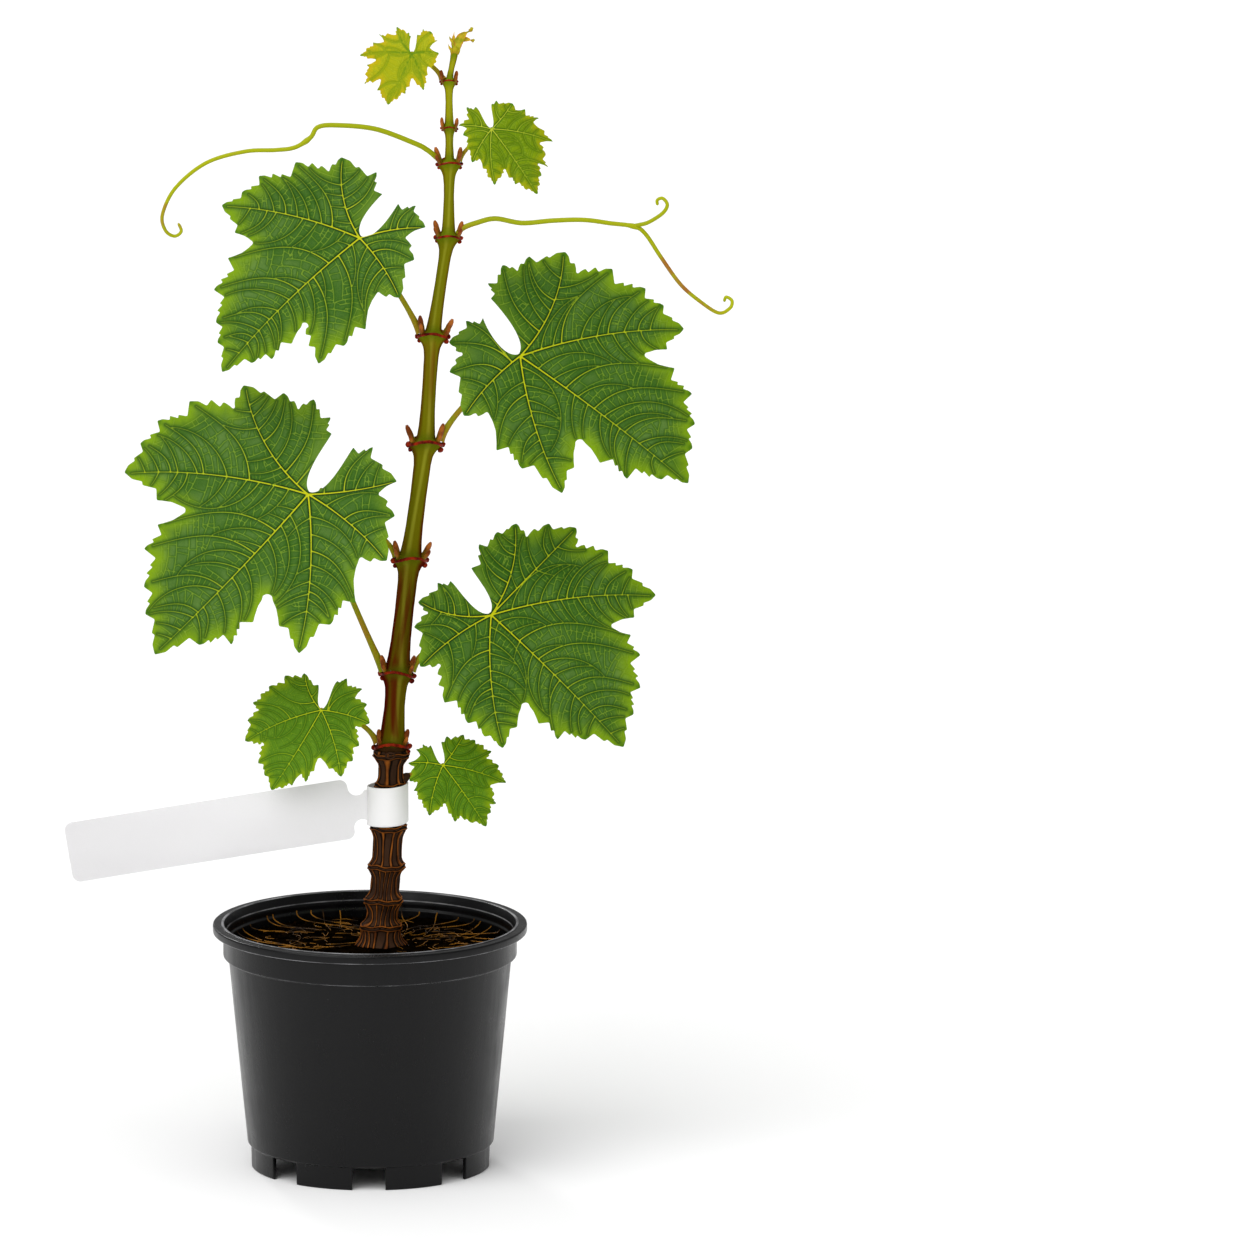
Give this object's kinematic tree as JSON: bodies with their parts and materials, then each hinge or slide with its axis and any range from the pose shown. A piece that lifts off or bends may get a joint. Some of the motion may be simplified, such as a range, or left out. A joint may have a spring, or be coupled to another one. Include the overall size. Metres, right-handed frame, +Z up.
{
  "type": "potted grapevine",
  "caption": "Young single-cane grapevine in a round nursery pot, with lobed leaves, curling tendrils, a woody knotted foot and a blank strip label looped round it.",
  "frame": {"origin": "middle of the pot's flat underside, level with the surface that it stands on", "axes": "+Z up the cane; -Y towards the viewer of the picture; +X to that viewer's right"},
  "size_m": [0.3501, 0.165, 0.6042],
  "materials": {
    "pot_plastic": "satin near-black",
    "potting_mix": "dark crumbly bark and root fibre",
    "bark": "fluted brown bark",
    "green_cane": "smooth green shoot with red-brown streaks",
    "leaf_green": "satin green blade with pale veins",
    "young_leaf": "satin yellow-green young blade",
    "tendril_green": "smooth yellow-green",
    "label_plastic": "translucent white, blank"
  },
  "bodies": {
    "root": {"pot": "pot_plastic", "soil": "potting_mix", "trunk": "bark", "cane": "green_cane", "growing_tip": "young_leaf", "leaf_top_left": "young_leaf", "leaf_top_right": "young_leaf", "leaf_mid_left": "leaf_green", "leaf_mid_right": "leaf_green", "leaf_low_left": "leaf_green", "leaf_low_right": "leaf_green", "leaf_base_left": "leaf_green", "leaf_base_right": "leaf_green", "leaf_back": "leaf_green", "tendril_left": "tendril_green", "tendril_right": "tendril_green", "label": "label_plastic"}
  },
  "joints": []
}
